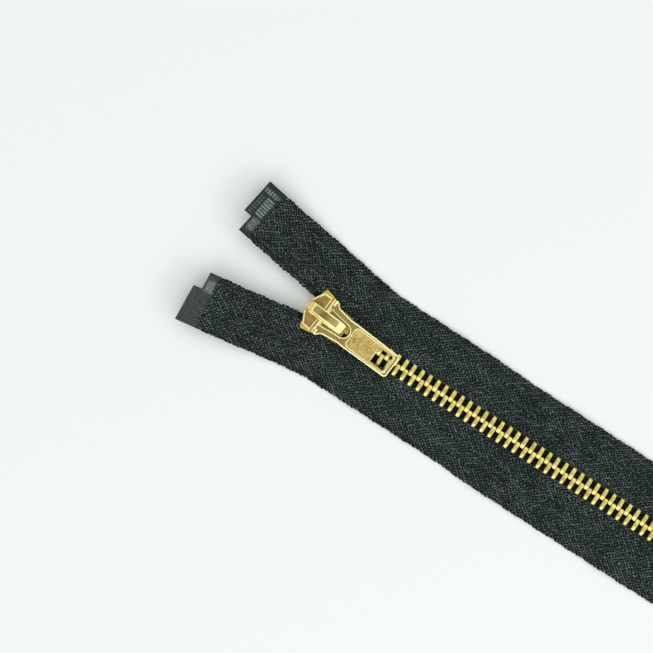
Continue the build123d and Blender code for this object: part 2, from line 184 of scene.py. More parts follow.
def brass(name, colour, dark, roughness, stain=0.35, grain=0.3, grit=0.0, uneven=0.0, tone=False):
    """Metal with fine scratches, a dark speckle and patches of stain.

    `grain` and `stain` are how strong the speckle and the patches are. `grit` roughens the metal like
    sand-blasting, `uneven` makes it wavy, and `tone` darkens each element by its own amount.
    """
    graph = Graph(name)
    space = object_space(graph)
    streaks = graph.noise(stretched(graph, space, SCRATCH_SCALES), scale=1.0, detail=4.0, roughness=0.6)
    grains = graph.noise(space, scale=4200.0, detail=3.0, roughness=0.7)
    patches = graph.noise(space, scale=620.0, detail=4.0, roughness=0.65)
    waves = graph.noise(space, scale=260.0, detail=2.0, roughness=0.5)
    stained = graph.level(patches, [(0.40, 0.0), (0.74, 1.0)])
    spots = graph.level(grains, [(0.50, 0.0), (0.64, 1.0)])
    shade = graph.math("MULTIPLY_ADD", spots, grain, graph.math("MULTIPLY", stained, stain))
    if tone:
        shade = graph.math("ADD", shade, graph.attribute("tone"))
    base = graph.mix(graph.math("MINIMUM", shade, 1.0), colour, dark)
    rough = graph.math("MULTIPLY_ADD", streaks, 0.16, roughness - 0.08)
    rough = graph.math("MULTIPLY_ADD", grains, grit * 0.3, rough)
    height = graph.math("MULTIPLY_ADD", grains, 0.25 + grit * 3.0, graph.math("MULTIPLY", streaks, 0.25))
    height = graph.math("MULTIPLY_ADD", waves, uneven * 12.0, height)
    normal = graph.bump(height, 0.4, BRASS_BUMP)
    return graph.finish(Base_Color=base, Metallic=1.0, Roughness=rough, Normal=normal)


# The round rims are real, but this paler, whiter copy of the brass is a painted highlight along their crests.
RIM_PAINTED_HIGHLIGHT_LOOK = {
    "colour": (0.94, 0.89, 0.46), "dark": (0.60, 0.49, 0.18), "roughness": 0.22,
    "stain": 0.15, "grain": 0.2,
}
ELEMENT_BRASS = brass(
    "element_brass", colour=(0.97, 0.87, 0.33), dark=(0.36, 0.25, 0.04), roughness=0.35,
    stain=0.3, grain=0.7, grit=0.3, uneven=0.3, tone=True,
)
STOP_BRASS = brass(
    "stop_brass", colour=(0.90, 0.71, 0.29), dark=(0.46, 0.31, 0.09), roughness=0.34,
    grain=0.4, grit=0.1,
)
POLISHED = brass(
    "slider_brass", colour=(0.90, 0.71, 0.27), dark=(0.44, 0.28, 0.07), roughness=0.15,
    stain=0.4, uneven=0.7,
)
# A copy of the slider's brass in a more saturated yellow, painted shade for the skirt and the parts below it,
# which lie in shade under the wings.
SHADED = brass(
    "slider_brass_skirt_painted_shade", colour=(1.0, 0.76, 0.15), dark=(0.60, 0.40, 0.05), roughness=0.40,
    stain=0.4, uneven=0.3,
)
DULLED = brass(
    "slider_brass_dulled", colour=(0.92, 0.60, 0.22), dark=(0.36, 0.20, 0.05), roughness=0.26,
    stain=0.9, grain=0.6, grit=0.2, uneven=1.2,
)
PULLER_BRASS = brass(
    "puller_brass", colour=(0.94, 0.70, 0.27), dark=(0.54, 0.36, 0.10), roughness=0.18,
    stain=0.35, uneven=0.5,
)
BLASTED = brass(
    "puller_brass_blasted", colour=(0.78, 0.62, 0.22), dark=(0.26, 0.17, 0.04), roughness=0.38,
    stain=0.6, grain=1.2, grit=1.0,
)
RIM_BRASS = brass("slider_brass_rim_painted_highlight", **RIM_PAINTED_HIGHLIGHT_LOOK)
PULLER_RIM_BRASS = brass("puller_brass_rim_painted_highlight", **RIM_PAINTED_HIGHLIGHT_LOOK)
SPRING_STEEL = brass("spring_steel", colour=(0.62, 0.62, 0.60), dark=(0.30, 0.29, 0.28), roughness=0.28)

# ---- Metal pieces -----------------------------------------------------------------------------------

JOIN_DISTANCE = 1e-6  # metres, under which two vertices of an imported solid are one


def baked(piece):
    """Applies a piece's modifiers."""
    graph = bpy.context.evaluated_depsgraph_get()
    mesh = bpy.data.meshes.new_from_object(piece.evaluated_get(graph))
    piece.modifiers.clear()
    piece.data = mesh


def new_object(name, data):
    """An object in the scene that shows a mesh, a camera or a light."""
    shown = bpy.data.objects.new(name, data)
    bpy.context.scene.collection.objects.link(shown)
    return shown


def add_bevel(piece, width, segments, angle):
    """Rounds a piece's edges that are sharper than an angle in degrees."""
    bevel = piece.modifiers.new("bevel", "BEVEL")
    bevel.width = width
    bevel.segments = segments
    bevel.limit_method = "ANGLE"
    bevel.angle_limit = math.radians(angle)


def cut_all(work, point, normal, distance):
    """Cuts a whole mesh along a plane, which only adds vertices."""
    everything = work.verts[:] + work.edges[:] + work.faces[:]
    bmesh.ops.bisect_plane(work, geom=everything, plane_co=point, plane_no=normal, dist=distance)


def clean_mesh(work):
    """Joins a triangulated solid's vertices and merges its flat faces."""
    bmesh.ops.remove_doubles(work, verts=work.verts, dist=JOIN_DISTANCE)
    bmesh.ops.dissolve_limit(
        work, angle_limit=math.radians(0.6), verts=work.verts, edges=work.edges, delimit={"NORMAL"}
    )


def rounded_copy(node, name, width, shape=None):
    """A piece with the shape of a CAD node and its sharp edges rounded, which stands for that node."""
    mesh = frame["nodes"][node].data.copy()
    mesh.materials.clear()
    work = bmesh.new()
    work.from_mesh(mesh)
    clean_mesh(work)
    if shape is not None:
        shape(work)
    work.to_mesh(mesh)
    work.free()
    mesh.shade_smooth()
    piece = new_object(name, mesh)
    add_bevel(piece, width * MM, 2, 30.0)
    weigh = piece.modifiers.new("weigh", "WEIGHTED_NORMAL")
    weigh.keep_sharp = True
    baked(piece)
    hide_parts(node)
    return piece


def metal_piece(node, name, body, materials, width, choose=None, shape=None):
    """A metal piece that rides a body.

    `choose` picks a face's material by its centre and normal. `shape` alters the mesh before it is rounded.
    """
    piece = rounded_copy(node, name, width, shape)
    for material in materials:
        piece.data.materials.append(material)
    if choose is not None:
        for face in piece.data.polygons:
            face.material_index = choose(face.center / MM, face.normal)
    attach(piece, body)
    return piece


# ---- Slider and puller ------------------------------------------------------------------------------

UP = Vector((0.0, 0.0, 1.0))
PULLER_HINGE = JOINTS["puller_swing"]
PULLER_AXIS = Vector(PULLER_HINGE["axis"])
PULLER_AT = Vector(PULLER_HINGE["pos_m"]) / MM
PULLER_TILT = math.radians(3.2)
ALONG_SLIDER = Vector((-PULLER_AXIS.y, PULLER_AXIS.x, 0.0)).normalized()
if ALONG_SLIDER.x < 0.0:
    ALONG_SLIDER.negate()
ACROSS_SLIDER = Vector((-ALONG_SLIDER.y, ALONG_SLIDER.x, 0.0))
ALONG_PULLER = ALONG_SLIDER * math.cos(PULLER_TILT) - UP * math.sin(PULLER_TILT)
PULLER_NORMAL = ALONG_SLIDER * math.sin(PULLER_TILT) + UP * math.cos(PULLER_TILT)
CROSSBAR_U = -0.8
SLIDER_AT = Vector((PULLER_AT.x, PULLER_AT.y, TAPE_Z)) - ALONG_SLIDER * CROSSBAR_U

DECK_W = 2.5  # top of the slider's upper blade
WING_FLOOR_DEPTHS = (0.15, 0.3)  # the floors of the wings' recesses lie between these depths below the deck
WINGS_END_X = -1.0
SKIRT_TOP_W = 1.6
CAP_TOP_U = [-6.05, -4.6, 3.6, 5.5]
CAP_TOP_W = [4.5, 5.7, 5.7, 4.3]
CAP_BACK_SINK = 0.52
CAP_FRONT_SINK = 0.26
CAP_ARCH_W = 4.1  # below which the cap keeps its shape
CAP_WALL = 0.15  # depth from which the roof counts as its underside
UNDERSIDE_LAG = 0.55  # how much less the underside sinks, to clear the lifted spring
CAP_CUTS = np.arange(-5.6, 5.3, 0.45)
SLOT_HALF = 1.95
SLOT_FLARE = 0.55
SLOT_FLARE_END = 5.6
SLOT_CUTS = np.arange(0.9, 5.8, 0.6)
PANEL_FLOOR = 0.36  # greatest height of a sunken panel's floor above the puller's middle plane


def smooth(value):
    clipped = np.clip(value, 0.0, 1.0)
    return clipped * clipped * (3.0 - 2.0 * clipped)


def body_finish(centre, normal):
    """1 on the floors of the wings' recesses, 2 on the skirt and below it, which get the brass painted as in
    shade, 0 elsewhere on the slider body.
    """
    shallow, deep = WING_FLOOR_DEPTHS
    depth = TAPE_Z + DECK_W - centre.z
    if normal.z > 0.9 and shallow < depth < deep and centre.x < WINGS_END_X:
        return 1
    return 2 if centre.z < TAPE_Z + SKIRT_TOP_W else 0


def puller_finish(centre, normal):
    """1 on the floors of the puller's sunken panels, 0 elsewhere."""
    height = abs((centre - PULLER_AT).dot(PULLER_NORMAL))
    return int(abs(normal.dot(PULLER_NORMAL)) > 0.98 and height < PANEL_FLOOR)


def cap_sink(u):
    """How far the cap's arched top lies below a flat one, at u along the slider."""
    back = CAP_BACK_SINK * float(smooth((u + 0.4) / 4.6))
    return back + CAP_FRONT_SINK * float(smooth((-1.4 - u) / 3.6))


def arch_cap(work):
    """Gives the cap's flat top a gentle arch along the slider, and its roof's underside a flatter one."""
    for u in CAP_CUTS:
        cut_all(work, (SLIDER_AT + ALONG_SLIDER * float(u)) * MM, ALONG_SLIDER, 1e-7)
    for vertex in work.verts:
        u = (vertex.co / MM - SLIDER_AT).dot(ALONG_SLIDER)
        w = vertex.co.z / MM - TAPE_Z
        depth = float(np.interp(u, CAP_TOP_U, CAP_TOP_W)) - w
        high = float(smooth((w - CAP_ARCH_W) / 1.3))
        underside = float(smooth((depth - CAP_WALL) / 0.2))
        vertex.co.z -= cap_sink(u) * high * (1.0 - UNDERSIDE_LAG * underside) * MM


def slot_flare(p):
    """How much wider than at its round end the puller's slot is on each side, at p along the puller."""
    return SLOT_FLARE * float(smooth((SLOT_FLARE_END - p) / SLOT_FLARE_END))


def flare_slot(work):
    """Spreads the walls of the puller's slot toward the crossbar."""
    for p in SLOT_CUTS:
        cut_all(work, (PULLER_AT + ALONG_PULLER * float(p)) * MM, ALONG_PULLER, 1e-7)
    for vertex in work.verts:
        offset = vertex.co / MM - PULLER_AT
        q = offset.dot(ACROSS_SLIDER)
        if SLOT_HALF - 0.3 < abs(q) < SLOT_HALF + 0.25:
            shift = math.copysign(slot_flare(offset.dot(ALONG_PULLER)), q)
            vertex.co += ACROSS_SLIDER * (shift * MM)


CORNER_STEPS = 6
RIM_SIDES = 10


def turned(vector, angle):
    """A flat vector turned by an angle."""
    cosine, sine = math.cos(angle), math.sin(angle)
    return Vector((vector.x * cosine - vector.y * sine, vector.x * sine + vector.y * cosine))


def rounded_path(corners, radii, closed=True):
    """Points of a flat path through these corners, each rounded by its radius."""
    path = []
    count = len(corners)
    for index, (corner, radius) in enumerate(zip(corners, radii)):
        here = Vector(corner)
        if radius == 0.0 or (not closed and index in (0, count - 1)):
            path.append(here)
            continue
        back = (Vector(corners[index - 1]) - here).normalized()
        forth = (Vector(corners[(index + 1) % count]) - here).normalized()
        half = math.acos(max(-1.0, min(1.0, back.dot(forth)))) / 2
        reach = radius / math.tan(half)
        centre = here + (back + forth).normalized() * (radius / math.sin(half))
        start, end = here + back * reach - centre, here + forth * reach - centre
        turn = math.atan2(start.x * end.y - start.y * end.x, start.dot(end))
        for step in range(CORNER_STEPS + 1):
            path.append(centre + turned(start, turn * step / CORNER_STEPS))
    return path


def mirrored_corners(half):
    """A closed outline's corners from the half on one side of its long axis."""
    return list(half) + [(a, -b) for a, b in reversed(half)]


def rim_mesh(paths, radius, height, place, squash=1.0):
    """Points and faces of round rims that follow flat paths; `place` maps (a, b, height) into the model."""
    ring = RIM_SIDES
    points, faces = [], []
    for path, closed in paths:
        first = len(points)
        count = len(path)
        for index, at in enumerate(path):
            before = path[index - 1] if closed or index > 0 else at
            after = path[(index + 1) % count] if closed or index < count - 1 else at
            along = (after - before).normalized()
            aside = Vector((-along.y, along.x))
            for step in range(ring):
                angle = 2 * math.pi * step / ring
                flat = at + aside * (math.cos(angle) * radius)
                points.append(place(flat.x, flat.y, height + math.sin(angle) * radius * squash))
        spans = count if closed else count - 1
        for index in range(spans):
            low, high = first + index * ring, first + (index + 1) % count * ring
            for step in range(ring):
                after = (step + 1) % ring
                faces.append((low + step, low + after, high + after, high + step))
        if not closed:
            faces.append(tuple(reversed(range(first, first + ring))))
            faces.append(tuple(range(first + (count - 1) * ring, first + count * ring)))
    return points, faces


def rim_piece(name, parts, body, material):
    """One piece from several sets of rims, riding a body."""
    points, faces = [], []
    for part_points, part_faces in parts:
        offset = len(points)
        points += [tuple(p * MM) for p in part_points]
        faces += [tuple(i + offset for i in face) for face in part_faces]
    mesh = bpy.data.meshes.new(name)
    mesh.from_pydata(points, [], faces)
    work = bmesh.new()
    work.from_mesh(mesh)
    bmesh.ops.recalc_face_normals(work, faces=work.faces)
    work.to_mesh(mesh)
    work.free()
    mesh.shade_smooth()
    mesh.set_sharp_from_angle(angle=math.radians(60.0))
    mesh.materials.append(material)
    piece = new_object(name, mesh)
    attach(piece, body)
    return piece


def on_slider(u, v, w):
    return SLIDER_AT + ALONG_SLIDER * u + ACROSS_SLIDER * v + UP * w


def beside_slider(u, w, v):
    """Like on_slider, for a path drawn in the upright plane along the slider."""
    return on_slider(u, v, w)


def on_puller(p, q, height):
    return PULLER_AT + ALONG_PULLER * p + ACROSS_SLIDER * q + PULLER_NORMAL * height


WING_RIM = [(-5.98, 1.72), (-5.78, 2.2), (-4.38, 4.84), (-1.98, 5.12), (-1.86, 1.72)]  # (u, v) of one wing
WING_CORNERS = [0.0, 0.3, 0.5, 0.25, 0.0]
WING_RIM_R = 0.30
WING_RIM_W = 2.38
CAP_FRONT_EDGE = [(-5.98, 3.9), (-5.92, 4.35), (-5.6, 4.8), (-5.1, 5.2), (-4.7, 5.45), (-4.2, 5.56)]
CAP_BACK_EDGE = [(3.95, 4.86), (4.5, 4.5), (5.2, 3.9)]  # (u, w), like the front edge
CAP_RIM_W = 5.6
CAP_RIM_R = 0.17
CAP_RIM_V = 1.36


def slider_rims():
    """Round rims along the wings' recesses and the cap's two long edges."""
    wings = [
        (rounded_path([(u, side * v) for u, v in WING_RIM], WING_CORNERS, closed=False), False)
        for side in SIDE_NAMES
    ]
    arch = [(float(u), CAP_RIM_W - cap_sink(u)) for u in np.arange(-3.8, 3.5, 0.4)]
    edge = [Vector(point) for point in CAP_FRONT_EDGE + arch + CAP_BACK_EDGE]
    rims = [rim_mesh(wings, WING_RIM_R, WING_RIM_W, on_slider, 0.85)]
    for side in SIDE_NAMES:
        rims.append(rim_mesh([(edge, False)], CAP_RIM_R, side * CAP_RIM_V, beside_slider))
    return rims


PULLER_OUTLINE = [(-0.3, 5.18), (0.82, 5.18), (2.0, 4.0), (6.55, 3.38), (8.2, 3.5), (22.48, 3.28)]  # (p, q)
PULLER_CORNERS = [0.15, 0.3, 1.2, 3.0, 3.0, 0.7]  # radius at each corner
PANEL_OUTLINE = [(8.68, 2.92), (21.68, 2.92)]
PANEL_CORNERS = [1.0, 0.9]
WINDOW_EDGE = [(16.72, 2.3), (16.72, -2.3)]
SLOT_RIM_GAP = 0.17
SLOT_END = 8.22


def puller_rims():
    """Rims on both faces of the puller: round it, its slot and its sunken panel, and on the window's edge."""
    outline = rounded_path(mirrored_corners(PULLER_OUTLINE), PULLER_CORNERS + PULLER_CORNERS[::-1])
    slot_half = SLOT_HALF + SLOT_RIM_GAP
    slot_side = [(float(p), slot_half + slot_flare(p)) for p in np.arange(-0.3, 5.8, 0.6)]
    slot_radii = [0.0] * len(slot_side) + [slot_half - 0.01]
    slot_corners = mirrored_corners(slot_side + [(SLOT_END, slot_half)])
    slot = rounded_path(slot_corners, slot_radii + slot_radii[::-1], closed=False)
    panel = rounded_path(mirrored_corners(PANEL_OUTLINE), PANEL_CORNERS + PANEL_CORNERS[::-1])
    window = rounded_path(WINDOW_EDGE, [0.0, 0.0], closed=False)
    rims = []
    for face in (1.0, -1.0):
        for path, closed, radius, height, squash in (
            (outline, True, 0.24, 0.48, 0.9),
            (slot, False, 0.19, 0.48, 1.0),
            (panel, True, 0.15, 0.50, 1.0),
            (window, False, 0.11, 0.25, 1.0),
        ):
            rims.append(rim_mesh([(path, closed)], radius, face * height, on_puller, squash))
    return rims


rim_piece("slider_wing_and_cap_rims", slider_rims(), "slider", RIM_BRASS)
rim_piece("puller_rims", puller_rims(), "puller", PULLER_RIM_BRASS)
metal_piece(
    "slider_body", "slider_body_shell", "slider",
    [POLISHED, DULLED, SHADED], width=0.06, choose=body_finish,
)
metal_piece(
    "slider_cap", "slider_cap_shell", "slider",
    [POLISHED], width=0.05, shape=arch_cap,
)
metal_piece(
    "puller", "puller_plate", "puller",
    [PULLER_BRASS, BLASTED], width=0.05, choose=puller_finish, shape=flare_slot,
)
metal_piece("bottom_stop", "bottom_stop_clamp", "bottom_end", [STOP_BRASS], width=0.12)
metal_piece("locking_spring", "locking_spring_leaf", "lock", [SPRING_STEEL], width=0.03)
for side_name in SIDE_NAMES.values():
    top_stop = f"{side_name}_top_stop"
    metal_piece(top_stop, f"{top_stop}_clamp", f"{side_name}_chain", [STOP_BRASS], width=0.12)

# ---- Elements ---------------------------------------------------------------------------------------

PITCH = 2.54
ELEMENTS = 67
BEAD_Y = EDGE_GAP + BEAD_R
FIRST_X = {RIGHT: 0.135 - PITCH / 2, LEFT: 0.135}
ELEMENT_HALF_WIDTH = 0.61
ELEMENT_BEVEL = 0.13
ELEMENT_CUTS_X = (-0.36, -0.12, 0.12, 0.36)  # where an element's faces are cut, so that they can be shaped
ELEMENT_CUTS_Y = (-0.25, 0.05, 0.4, 0.9, 1.5, 2.0, 2.2, 2.4, 2.6)
CROWN = -0.10
HEAD_LIFT = {RIGHT: -0.10, LEFT: 0.16}
HEAD_Y = -0.05
DIMPLE = {RIGHT: -0.14, LEFT: -0.30}
DIMPLE_Y = 2.3
CORNER_REACH = {RIGHT: 0.38, LEFT: 0.20}
ASKEW = [0.012, 0.02, 0.012]  # spread of each element's tilt, roll and turn
TONE_SPREAD = 0.16
SEED = 7


def first_solid(work):
    """Deletes all solids of a mesh but one, the one nearest the open end."""
    start = min(work.verts, key=lambda v: v.co.x)
    reached, waiting = {start}, [start]
    while waiting:
        for edge in waiting.pop().link_edges:
            for vertex in edge.verts:
                if vertex not in reached:
                    reached.add(vertex)
                    waiting.append(vertex)
    bmesh.ops.delete(work, geom=[v for v in work.verts if v not in reached], context="VERTS")


def plain_element(side):
    """An imported element as a rounded piece, in millimetres from its place on the chain's centre line."""
    index = math.ceil((PIVOT.x - FIRST_X[side]) / PITCH)
    place = Vector((FIRST_X[side] + index * PITCH, 0.0, TAPE_Z))
    mesh = frame["nodes"][f"{SIDE_NAMES[side]}_elements_bottom"].data.copy()
    work = bmesh.new()
    work.from_mesh(mesh)
    bmesh.ops.remove_doubles(work, verts=work.verts, dist=JOIN_DISTANCE)
    first_solid(work)
    clean_mesh(work)
    for vertex in work.verts:
        vertex.co = vertex.co / MM - place
    work.to_mesh(mesh)
    work.free()
    piece = new_object("element_template", mesh)
    add_bevel(piece, ELEMENT_BEVEL, 3, 40.0)
    baked(piece)
    return piece


def element_template(side):
    """Points and triangles of one element, with its stamped shape."""
    piece = plain_element(side)
    work = bmesh.new()
    work.from_mesh(piece.data)
    for x in ELEMENT_CUTS_X:
        cut_all(work, Vector((x, 0.0, 0.0)), Vector((1.0, 0.0, 0.0)), 1e-5)
    for y in ELEMENT_CUTS_Y:
        cut_all(work, Vector((0.0, side * y, 0.0)), Vector((0.0, 1.0, 0.0)), 1e-5)
    bmesh.ops.triangulate(work, faces=work.faces)
    points = np.array([v.co[:] for v in work.verts])
    triangles = np.array([[v.index for v in f.verts] for f in work.faces])
    work.free()
    bpy.data.objects.remove(piece)
    return shaped_element(points, side), triangles


def shaped_element(points, side):
    """Adds a stamped element's crown, domed head, dimple and pointed outer corner to its plain shape."""
    x, y, z = points[:, 0], points[:, 1] * side, points[:, 2]
    upper = np.clip((z - 0.5) / 0.7, 0.0, 1.0)
    crown = CROWN * (x / ELEMENT_HALF_WIDTH) ** 2
    head = np.exp(-((y - HEAD_Y) ** 2) / 0.16 - x**2 / 0.3)
    lift = HEAD_LIFT[side] * head
    dimple = DIMPLE[side] * np.exp(-((y - DIMPLE_Y) ** 2 + x**2) / 0.035)
    z = z + upper * (crown + lift + dimple)
    corner = smooth((-x - 0.12) / 0.45) * smooth((y - DIMPLE_Y) / 0.4) * upper
    y = y + corner * CORNER_REACH[side]
    return np.stack([x, y * side, z], axis=1)


def element_place(side, x):
    """Where an element stands and how far it is turned: past the fork it is square to the parting bead."""
    if x > FORK_X:
        return np.array([x, 0.0]), 0.0
    edge = np.array([FORK_X, side * EDGE_GAP])
    along = np.array(MOUTH[side]) - edge
    along /= np.hypot(*along)
    before = np.array([0.0, side])
    after = np.array([along[1], -along[0]]) * side
    bisector = (before + after) / np.hypot(*(before + after))
    fork = edge + bisector * BEAD_R / bisector.dot(before)
    turn = side * math.atan2(abs(along[1]), -along[0])
    return fork + along * (FORK_X - x) - after * BEAD_Y, -turn


def store(mesh, name, values):
    """Stores one value for each vertex as an attribute, which a material can read."""
    mesh.attributes.new(name, "FLOAT", "POINT").data.foreach_set("value", values.astype(np.float32))


def element_row(side, name, indices, generator):
    """The elements with these numbers on one side, each a little askew and with its own tone."""
    points, triangles = TEMPLATES[side]
    all_points, all_triangles, tones = [], [], []
    for count, index in enumerate(indices):
        at, turn = element_place(side, FIRST_X[side] + index * PITCH)
        tilt, roll, askew = generator.normal(0.0, ASKEW)
        moved = points.copy()
        moved[:, 2] += moved[:, 0] * tilt + moved[:, 1] * roll * 0.4
        angle = turn + askew
        cosine, sine = math.cos(angle), math.sin(angle)
        x = at[0] + moved[:, 0] * cosine - moved[:, 1] * sine
        y = at[1] + moved[:, 0] * sine + moved[:, 1] * cosine
        all_points.append(np.stack([x, y, moved[:, 2] + TAPE_Z], axis=1) * MM)
        all_triangles.append(triangles + count * len(points))
        tones.append(np.full(len(points), generator.uniform(0.0, TONE_SPREAD)))
    mesh = bpy.data.meshes.new(name)
    mesh.from_pydata(np.concatenate(all_points).tolist(), [], np.concatenate(all_triangles).tolist())
    store(mesh, "tone", np.concatenate(tones))
    mesh.shade_smooth()
    mesh.set_sharp_from_angle(angle=math.radians(50.0))
    piece = new_object(name, mesh)
    piece.data.materials.append(ELEMENT_BRASS)
    return piece


TEMPLATES = {side: element_template(side) for side in SIDE_NAMES}
for side, side_name in SIDE_NAMES.items():
    random = np.random.default_rng(SEED + side)
    split = math.ceil((PIVOT.x - FIRST_X[side]) / PITCH)
    chain_row = element_row(side, f"{side_name}_element_row", range(split), random)
    end_row = element_row(side, f"{side_name}_element_row_bottom", range(split, ELEMENTS), random)
    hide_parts(f"{side_name}_elements")
    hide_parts(f"{side_name}_elements_bottom")
    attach(chain_row, f"{side_name}_chain")
    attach(end_row, "bottom_end")

# ---- Woven tapes ------------------------------------------------------------------------------------

WARP_PITCH = 0.42  # across the tape, from one warp thread to the next
FLOAT_PITCH = 2.33  # along the tape, from one float of a warp thread to its next: over two wefts, under two
COLUMNS_PER_STRIPE = 9  # warp threads in one leg of the herringbone
RELIEF = 0.07
S_STEP = FLOAT_PITCH / 9
T_STEP = WARP_PITCH / 2
SEAM_X = 80.0  # where the two lengths of a tape meet
SEAL_LENGTH = 5.4  # melted length at each end
BEAD_STEPS = 12
UV_SCALE = 100.0  # millimetres of tape in one unit of its UV map
END_SLANT = {RIGHT: 0.0, LEFT: 1.3}  # how much further a top end's outer corner reaches than its inner one
SLANT_LENGTH = 9.0
OUTER_LEAN = {RIGHT: -0.40, LEFT: 0.55}  # how far each outer edge stands off a straight one
OUTER_LEAN_X = (42.0, 130.0)  # from where to where it does, and over which lengths that fades in and out
OUTER_LEAN_FADES = (16.0, 25.0)
LEAF_LEAN = 0.28  # how far both top ends lean toward the left, from LEAF_LEAN_X on
LEAF_LEAN_X = -8.0
LEAF_LEAN_FADE = 14.0
FORK_TURN = 1.6  # lengths over which the inner edge turns at the fork and in the slider's mouth
MOUTH_TURN = 2.4
OUTER_TURN = 11.0
DROOP_T = 5.4  # how far across a tape it starts to droop to the table
DROOP = 1.95
LEAF_SPAN = 28.0
END_RISE = 2.9
CURVE_STEP = 0.05
CURVE_END_X = -45.0


class TapePath:
    """Where a point of one tape lies, from s along it from the bottom end and t across it from the bead."""

    def __init__(self, side):
        self.side = side
        mouth_x, mouth_y = MOUTH[side]
        leaf = math.tan(math.radians(LEAF_ANGLE[side]))
        fork = (abs(mouth_y) - EDGE_GAP) / (FORK_X - mouth_x)
        self.inner = self.curve(EDGE_GAP, [(FORK_X, fork, FORK_TURN), (mouth_x, leaf - fork, MOUTH_TURN)])
        cosine, sine = math.cos(math.atan(leaf)), math.sin(math.atan(leaf))
        top = Vector((mouth_x - TOP_EXTENSION * cosine, abs(mouth_y) + TOP_EXTENSION * sine))
        corner = top + Vector((sine, cosine)) * TAPE_WIDTH
        bend_x = corner.x + (corner.y - TAPE_OUTER) / leaf
        self.outer = self.curve(TAPE_OUTER, [(bend_x, leaf, OUTER_TURN)])
        self.length = self.length_to(self.inner, top.x)
        self.outer_length = self.length_to(self.outer, corner.x)
        self.bend_start = TAPE_END_X - bend_x - 10.0

    @staticmethod
    def curve(y_start, turns):
        """x, y and length along an edge whose slope changes by each (x, change, width)."""
        x = np.arange(TAPE_END_X, CURVE_END_X, -CURVE_STEP)
        slope = np.zeros_like(x)
        for at, change, width in turns:
            slope += change * smooth((at + width / 2 - x) / width)
        y = y_start + np.concatenate([[0.0], np.cumsum(slope[1:] * CURVE_STEP)])
        step = np.hypot(np.diff(x), np.diff(y))
        return x, y, np.concatenate([[0.0], np.cumsum(step)])

    @staticmethod
    def length_to(curve, x_end):
        return float(np.interp(-x_end, -curve[0], curve[2]))

    def at(self, s, t):
        """Plan position of points of the tape."""
        share = t / TAPE_WIDTH
        near_end = smooth((s - self.length + SLANT_LENGTH) / SLANT_LENGTH)
        s = s + END_SLANT[self.side] * (share - 0.3) * near_end
        extra = self.outer_length - self.length
        s_outer = s + extra * smooth((s - self.bend_start) / (self.length - self.bend_start))
        inner_x = np.interp(s, self.inner[2], self.inner[0])
        inner_y = np.interp(s, self.inner[2], self.inner[1])
        outer_x = np.interp(s_outer, self.outer[2], self.outer[0])
        outer_y = np.interp(s_outer, self.outer[2], self.outer[1])
        (low, high), (fade_in, fade_out) = OUTER_LEAN_X, OUTER_LEAN_FADES
        lean = smooth((outer_x - low) / fade_in) * smooth((high - outer_x) / fade_out)
        outer_y = outer_y + lean * OUTER_LEAN[self.side]
        x = inner_x + (outer_x - inner_x) * share
        y = self.side * (inner_y + (outer_y - inner_y) * share)
        return x, y - LEAF_LEAN * smooth((LEAF_LEAN_X - x) / LEAF_LEAN_FADE)

    def height(self, s, t, x):
        """Height of the middle surface: level at the chain and in the slider, low on the table outside."""
        along_leaf = np.clip(LEAF_X + 2.0 - x, 0.0, None) / LEAF_SPAN
        out = smooth((t - DROOP_T) / (TAPE_WIDTH - DROOP_T - 0.4))
        droop = DROOP * out * (1.0 - 0.55 * smooth(along_leaf * 1.4))
        rise = END_RISE * along_leaf**1.5
        ripple = 0.12 * np.sin(s / 6.1 + self.side) + 0.08 * np.sin(s / 3.3 + 2.0 * self.side)
        return TAPE_Z - droop + rise + ripple * out


def wander(s, t, phase):
    """A smooth irregular number, for the way threads stray from a regular grid."""
    first = np.sin(s * 0.83 + t * 1.31 + phase) + np.sin(s * 1.97 - t * 0.77 + 2.3 * phase)
    return first + np.sin(s * 0.31 - t * 2.63 + 4.1 * phase)


def weave(s, t):
    """Height, from 0 to 1, of the warp floats of a two-and-two herringbone twill."""
    column = np.floor(t / WARP_PITCH)
    across = np.abs(np.sin(np.pi * t / WARP_PITCH))
    turn = np.abs((column + 0.5) % (2 * COLUMNS_PER_STRIPE) - COLUMNS_PER_STRIPE)
    phase = (s / FLOAT_PITCH + turn / 4.0) % 1.0
    return across**0.7 * np.sin(np.pi * np.clip(2.0 * phase, 0.0, 1.0))


def within(value, low, high, soft=0.25):
    """1 between low and high, fading to 0 at both over a length of `soft`."""
    return smooth((value - low) / soft) * smooth((high - value) / soft)


def wave(value, start, pitch):
    """A wave between 0 and 1, with a crest at `start`."""
    return 0.5 + 0.5 * np.cos(2 * np.pi * (value - start) / pitch)


def pressed(side, from_end, t):
    """How far, from 0 to 1, the melted top end stands up from the pits that the sealing tool left; the fabric
    also paints it, paler on the crests as a painted highlight and darker in the pits as painted shade.
    """
    if side == LEFT:
        smear = within(t, 1.2, 6.0, 1.6) * within(from_end, 2.4, 6.0, 1.2)
        return 0.17 + 0.10 * np.sin(from_end * 9.0) * np.sin(t * 11.0) + 0.45 * smear
    bars = wave(t, 6.4, 0.82) * within(from_end, 2.4, 5.1) * within(t, 5.95, 11.75)
    rungs = wave(from_end, 0.8, 0.86) * within(from_end, 0.35, 5.3) * within(t, 12.2, 13.8)
    dots = wave(t, 5.6, 0.86) * wave(from_end, 0.9, 0.72)
    dots = dots * within(from_end, 0.4, 2.1) * within(t, 5.3, 11.6)
    smear = within(t, 0.9, 6.2, 1.6) * within(from_end, 2.4, 6.0, 1.3)
    return 0.85 * bars + 0.75 * rungs + 0.55 * dots + 0.42 * smear + 0.05


